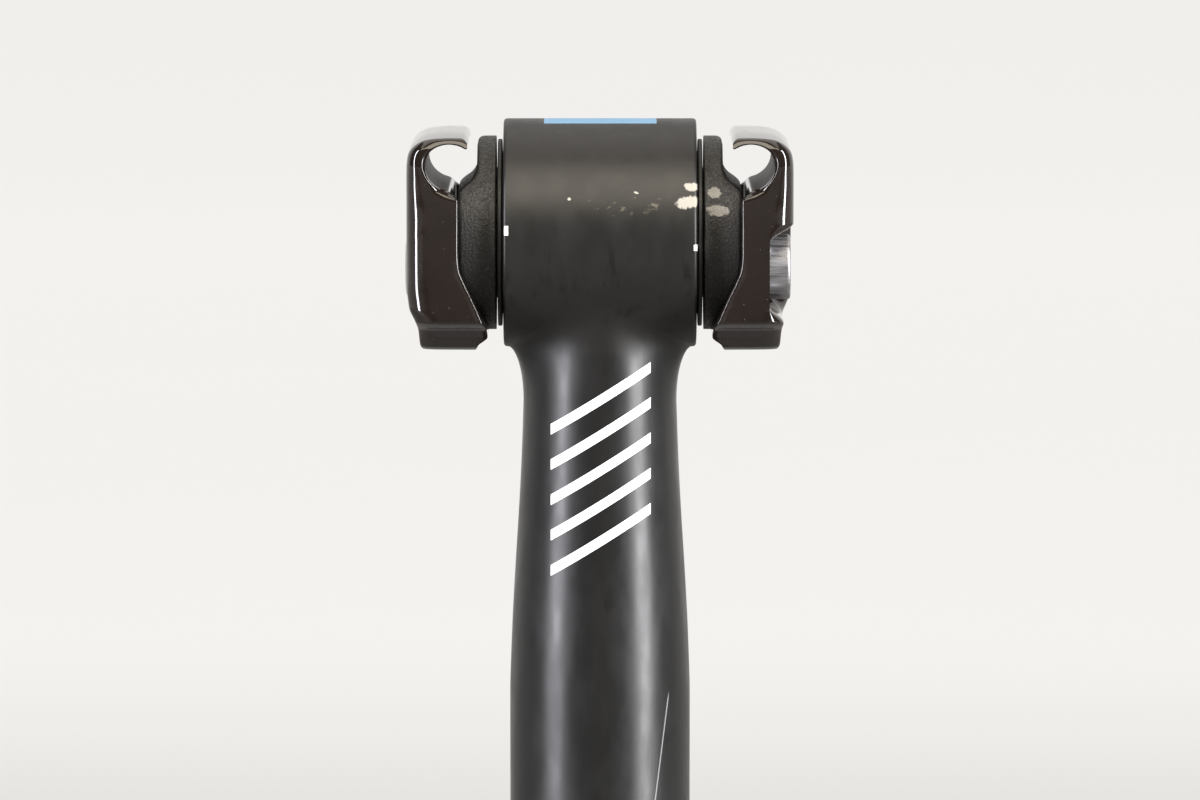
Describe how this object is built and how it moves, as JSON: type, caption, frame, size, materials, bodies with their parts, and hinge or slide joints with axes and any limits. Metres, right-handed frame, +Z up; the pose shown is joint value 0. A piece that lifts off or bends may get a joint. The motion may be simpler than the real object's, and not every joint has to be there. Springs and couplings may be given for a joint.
{
  "type": "suspension seatpost",
  "caption": "Bicycle seatpost with a barrel head, side clamps for the saddle rails and a sprung telescopic shaft.",
  "frame": {"origin": "centre of the lower tube's foot face", "axes": "+Z up the post, +X along the barrel towards the bolt's head, +Y to the far side of the picture's view"},
  "size_m": [0.0582, 0.0374, 0.3562],
  "materials": {
    "black_alloy": "satin",
    "cast_black": "matte",
    "gloss_black": "gloss",
    "nut_black": "gloss",
    "insert_polymer": "matte",
    "steel": "satin",
    "spring_steel": "satin",
    "rubber": "matte",
    "elastomer": "satin",
    "bushing_polymer": "satin",
    "brass": "satin",
    "alloy": "satin"
  },
  "bodies": {
    "lower_assembly": {"lower_tube": "black_alloy", "seal_collar": "black_alloy", "wiper_seal": "rubber", "collar_o_ring": "rubber", "upper_bushing": "bushing_polymer", "guide_key_1": "brass", "guide_key_2": "brass", "guide_key_3": "brass"},
    "shaft": {"post_shaft": "black_alloy", "barrel_insert_left": "insert_polymer", "barrel_insert_right": "insert_polymer", "lower_bushing": "bushing_polymer", "top_out_bumper": "rubber", "retaining_ring": "steel", "spring_seat_upper": "alloy", "upper_seat_pin": "steel", "spring_top_cushion": "elastomer"},
    "cradles": {"inner_cradle_left": "cast_black", "inner_cradle_right": "cast_black"},
    "right_clamp": {"outer_clamp_right": "gloss_black", "bolt_washer": "steel"},
    "left_clamp": {"outer_clamp_left": "gloss_black", "clamp_nut": "nut_black"},
    "bolt": {"clamp_bolt": "steel"},
    "preload_carrier": {"spring_seat_lower": "alloy", "bottom_out_bumper": "rubber", "main_spring": "spring_steel", "elastomer_core": "elastomer"},
    "preload_screw": {"preload_plug": "alloy", "plug_o_ring": "rubber"}
  },
  "joints": [
    {"name": "suspension_travel", "type": "slide", "parent": "lower_assembly", "child": "shaft", "axis": [0, 0, -1], "range_m": [0, 0.04], "stiffness_N_per_m": 25000, "springref_m": -0.004, "deforming": ["main_spring", "elastomer_core"]},
    {"name": "saddle_tilt", "type": "hinge", "parent": "shaft", "child": "cradles", "pos_m": [0, 0, 0.339], "axis": [1, 0, 0], "range_deg": [-20, 20]},
    {"name": "clamp_right_slide", "type": "slide", "parent": "cradles", "child": "right_clamp", "axis": [1, 0, 0], "range_m": [-0.0005, 0.0018]},
    {"name": "clamp_left_slide", "type": "slide", "parent": "cradles", "child": "left_clamp", "axis": [-1, 0, 0], "range_m": [-0.00051, 0.00181]},
    {"name": "bolt_spin", "type": "hinge", "parent": "right_clamp", "child": "bolt", "pos_m": [0, 0, 0.3338], "axis": [1, 0, 0], "range_deg": [-361, 1297]},
    {"name": "preload_travel", "type": "slide", "parent": "lower_assembly", "child": "preload_carrier", "axis": [0, 0, 1], "range_m": [0, 0.004], "deforming": ["spring_top_cushion"]},
    {"name": "preload_turn", "type": "hinge", "parent": "preload_carrier", "child": "preload_screw", "pos_m": [0, 0, 0], "axis": [0, 0, 1], "range_deg": [0, 961]}
  ],
  "couplings": [
    {"joint": "clamp_left_slide", "follows": "clamp_right_slide", "ratio": 1},
    {"joint": "bolt_spin", "follows": "clamp_right_slide", "rad_per_m": 12566},
    {"joint": "preload_turn", "follows": "preload_travel", "rad_per_m": 4188.8}
  ]
}
